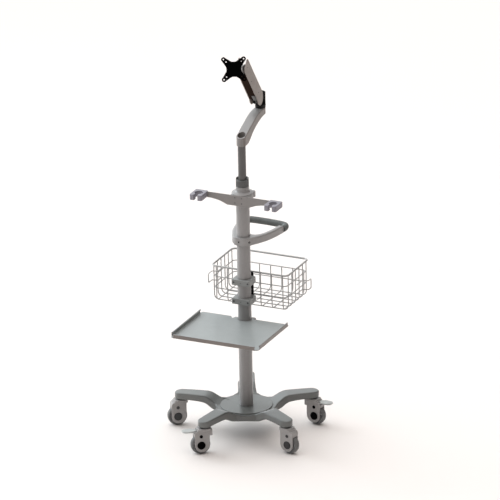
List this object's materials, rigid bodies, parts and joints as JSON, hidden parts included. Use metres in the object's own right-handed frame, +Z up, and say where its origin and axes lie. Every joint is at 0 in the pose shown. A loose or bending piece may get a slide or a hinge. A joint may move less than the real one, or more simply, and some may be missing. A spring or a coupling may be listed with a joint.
{
  "type": "monitor stand",
  "caption": "Rolling patient monitor stand with swivel casters, height-adjustable pole, sprung monitor arm, tray, wire basket, cable holders and push handle.",
  "frame": {"origin": "on the floor under the middle of the stand's bounding box", "axes": "+Z up along the column, -Y towards the front, where the tray is, +X to the user's right as the user faces the stand"},
  "size_m": [0.7868, 0.7868, 2.0441],
  "materials": {
    "base_grey": "mid-grey satin coat on a cast base",
    "light_coat": "light grey satin powder coat",
    "cover_plastic": "warm grey moulded covers",
    "bright_steel": "turned steel",
    "pole_metal": "dark anodised tube",
    "dark_plastic": "dark moulded plastic",
    "black_coat": "black satin powder coat",
    "holder_plastic": "purple-grey moulded plastic",
    "grip_rubber": "dark ribbed grip",
    "basket_wire": "bright plated wire",
    "wheel_plastic": "light grey wheel centre",
    "tread": "dark grey soft tread"
  },
  "bodies": {
    "stand": {"base_casting": "base_grey", "base_bolt": "bright_steel", "column_foot": "bright_steel", "column_tube": "light_coat", "column_head": "light_coat", "guide_bush": "dark_plastic", "cross_bar": "light_coat", "holder_left": "holder_plastic", "holder_right": "holder_plastic", "handle_ring": "light_coat", "handle_grip": "grip_rubber", "clamp_upper": "light_coat", "clamp_lower": "light_coat", "basket_bracket": "black_coat", "basket": "basket_wire", "shelf_tray": "light_coat", "shelf_bracket": "light_coat"},
    "lock_ring": {"lock_ring": "dark_plastic"},
    "pole": {"inner_pole": "pole_metal", "pole_slider": "dark_plastic", "pole_cap": "dark_plastic"},
    "curved_arm": {"curved_arm": "light_coat"},
    "knuckle": {"knuckle": "black_coat"},
    "spring_arm": {"arm_cover_left": "cover_plastic", "arm_cover_right": "cover_plastic", "arm_channel": "dark_plastic", "lower_pin": "bright_steel", "upper_pin": "bright_steel", "gas_spring": "black_coat"},
    "gas_rod": {"gas_rod": "bright_steel"},
    "arm_link": {"arm_link": "bright_steel"},
    "arm_head": {"arm_head": "light_coat"},
    "pan_yoke": {"pan_yoke": "black_coat"},
    "tilt_block": {"tilt_block": "black_coat", "tilt_pin": "bright_steel", "plate_bolt": "black_coat"},
    "vesa_plate": {"vesa_plate": "black_coat"},
    "caster_a": {"fork_a": "light_coat", "axle_a": "dark_plastic"},
    "wheel_a": {"wheel_a": "wheel_plastic", "tyre_a": "tread"},
    "caster_b": {"fork_b": "light_coat", "axle_b": "dark_plastic"},
    "wheel_b": {"wheel_b": "wheel_plastic", "tyre_b": "tread"},
    "caster_c": {"fork_c": "light_coat", "axle_c": "dark_plastic"},
    "wheel_c": {"wheel_c": "wheel_plastic", "tyre_c": "tread"},
    "caster_d": {"fork_d": "light_coat", "axle_d": "dark_plastic"},
    "wheel_d": {"wheel_d": "wheel_plastic", "tyre_d": "tread"},
    "caster_e": {"fork_e": "light_coat", "axle_e": "dark_plastic"},
    "wheel_e": {"wheel_e": "wheel_plastic", "tyre_e": "tread"},
    "pedal_b": {"pedal_b": "cover_plastic"},
    "pedal_d": {"pedal_d": "cover_plastic"}
  },
  "joints": [
    {"name": "lock_turn", "type": "hinge", "parent": "stand", "child": "lock_ring", "pos_m": [0.01744, 0.02695, 1.34], "axis": [0, 0, 1], "range_deg": [0, 60]},
    {"name": "pole_slide", "type": "slide", "parent": "stand", "child": "pole", "axis": [0, 0, 1], "range_m": [-0.165, 0.2]},
    {"name": "arm_swing", "type": "hinge", "parent": "pole", "child": "curved_arm", "pos_m": [0.01744, 0.02695, 1.565], "axis": [0, 0, 1], "range_deg": [-170, 170]},
    {"name": "knuckle_swing", "type": "hinge", "parent": "curved_arm", "child": "knuckle", "pos_m": [0.01744, 0.25695, 1.665], "axis": [0, 0, 1], "range_deg": [-100, 100]},
    {"name": "lift", "type": "hinge", "parent": "knuckle", "child": "spring_arm", "pos_m": [0.01744, 0.21295, 1.728], "axis": [1, 0, 0], "range_deg": [-6, 70]},
    {"name": "link_turn", "type": "hinge", "parent": "knuckle", "child": "arm_link", "pos_m": [0.01744, 0.21295, 1.706], "axis": [1, 0, 0], "range_deg": [-7, 71]},
    {"name": "gas_stroke", "type": "slide", "parent": "spring_arm", "child": "gas_rod", "axis": [0, -0.5819, 0.8132], "range_m": [-0.003, 0.031]},
    {"name": "head_level", "type": "hinge", "parent": "spring_arm", "child": "arm_head", "pos_m": [0.01744, 0.05695, 1.946], "axis": [1, 0, 0], "range_deg": [-71, 7]},
    {"name": "pan", "type": "hinge", "parent": "arm_head", "child": "pan_yoke", "pos_m": [0.01744, -0.05405, 1.978], "axis": [0, 0, 1], "range_deg": [-119, 61]},
    {"name": "tilt", "type": "hinge", "parent": "pan_yoke", "child": "tilt_block", "pos_m": [0.02617, -0.06979, 1.978], "axis": [0.8746, 0.4848, 0], "range_deg": [-12, 30]},
    {"name": "plate_turn", "type": "hinge", "parent": "tilt_block", "child": "vesa_plate", "pos_m": [0.03631, -0.08809, 1.9848], "axis": [0.4611, -0.8318, 0.309], "range_deg": [-90, 90]},
    {"name": "swivel_a", "type": "hinge", "parent": "stand", "child": "caster_a", "pos_m": [-0.32703, -0.00561, 0.13], "axis": [0, 0, 1], "continuous": true},
    {"name": "roll_a", "type": "hinge", "parent": "caster_a", "child": "wheel_a", "pos_m": [-0.34644, -0.01972, 0.05], "axis": [0.5878, -0.809, 0], "continuous": true},
    {"name": "swivel_b", "type": "hinge", "parent": "stand", "child": "caster_b", "pos_m": [-0.05804, -0.31072, 0.13], "axis": [0, 0, 1], "continuous": true},
    {"name": "roll_b", "type": "hinge", "parent": "caster_b", "child": "wheel_b", "pos_m": [-0.07695, -0.32549, 0.05], "axis": [0.6157, -0.788, 0], "continuous": true},
    {"name": "swivel_c", "type": "hinge", "parent": "stand", "child": "caster_c", "pos_m": [0.31526, -0.14918, 0.13], "axis": [0, 0, 1], "continuous": true},
    {"name": "roll_c", "type": "hinge", "parent": "caster_c", "child": "wheel_c", "pos_m": [0.33864, -0.15458, 0.05], "axis": [0.225, 0.9744, 0], "continuous": true},
    {"name": "swivel_d", "type": "hinge", "parent": "stand", "child": "caster_d", "pos_m": [0.27698, 0.25576, 0.13], "axis": [0, 0, 1], "continuous": true},
    {"name": "roll_d", "type": "hinge", "parent": "caster_d", "child": "wheel_d", "pos_m": [0.30074, 0.25242, 0.05], "axis": [0.1392, 0.9903, 0], "continuous": true},
    {"name": "swivel_e", "type": "hinge", "parent": "stand", "child": "caster_e", "pos_m": [-0.11997, 0.34449, 0.13], "axis": [0, 0, 1], "continuous": true},
    {"name": "roll_e", "type": "hinge", "parent": "caster_e", "child": "wheel_e", "pos_m": [-0.14076, 0.35649, 0.05], "axis": [-0.5, -0.866, 0], "continuous": true},
    {"name": "brake_b", "type": "hinge", "parent": "caster_b", "child": "pedal_b", "pos_m": [-0.09744, -0.3415, 0.117], "axis": [0.6157, -0.788, 0], "range_deg": [0, 15]},
    {"name": "brake_d", "type": "hinge", "parent": "caster_d", "child": "pedal_d", "pos_m": [0.32649, 0.2488, 0.117], "axis": [0.1392, 0.9903, 0], "range_deg": [0, 15]}
  ],
  "couplings": [
    {"joint": "link_turn", "follows": "lift", "ratio": 1},
    {"joint": "head_level", "follows": "lift", "ratio": -1},
    {"joint": "gas_stroke", "follows": "lift", "m_per_rad": 0.024}
  ]
}
